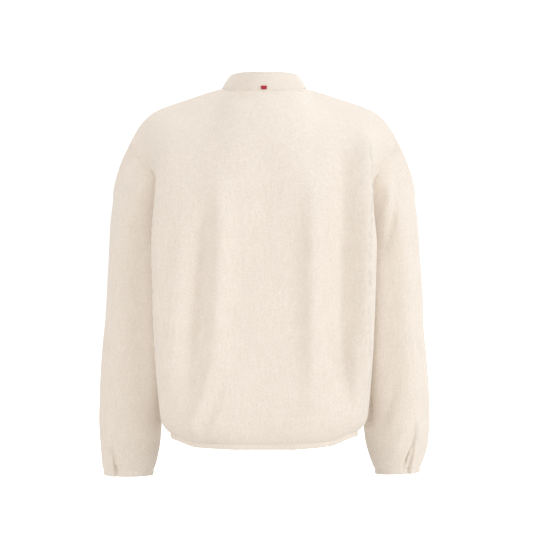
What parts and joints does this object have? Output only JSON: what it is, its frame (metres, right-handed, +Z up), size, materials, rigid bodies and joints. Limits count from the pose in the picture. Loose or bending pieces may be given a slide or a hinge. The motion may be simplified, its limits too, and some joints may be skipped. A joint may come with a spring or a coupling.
{
  "type": "fleece jacket",
  "caption": "Zip-front fleece jacket with rib stand collar, drop shoulders, long sleeves and narrow bound edges, hollow, in its worn shape.",
  "frame": {"origin": "middle of the neck opening, level with the neck seam at the back, where the wearer's neck and shoulders hold the jacket up", "axes": "+Z up, +X towards the wearer's right sleeve, +Y out of the zip front, so that the back faces -Y"},
  "size_m": [0.588, 0.2545, 0.7042],
  "materials": {
    "fleece": "matte",
    "rib_knit": "matte",
    "binding_tape": "matte",
    "zip_tape": "matte",
    "zip_teeth": "satin",
    "zip_metal": "satin",
    "red_tape": "matte"
  },
  "bodies": {
    "jacket": {"back": "fleece", "front_left": "fleece", "front_right": "fleece", "sleeve_left": "fleece", "sleeve_right": "fleece", "collar": "rib_knit", "hem_binding": "binding_tape", "cuff_binding_left": "binding_tape", "cuff_binding_right": "binding_tape", "zip_tape_left": "zip_tape", "zip_tape_right": "zip_tape", "zip_chain": "zip_teeth", "zip_bottom_stop": "zip_metal", "zip_slider": "zip_metal", "neck_tab": "red_tape"},
    "pull": {"zip_pull_tab": "zip_metal"}
  },
  "joints": [
    {"name": "pull_tab_swing", "type": "hinge", "parent": "jacket", "child": "pull", "pos_m": [0, 0.07584, -0.03515], "axis": [1, 0, 0], "range_deg": [0, 160]}
  ]
}
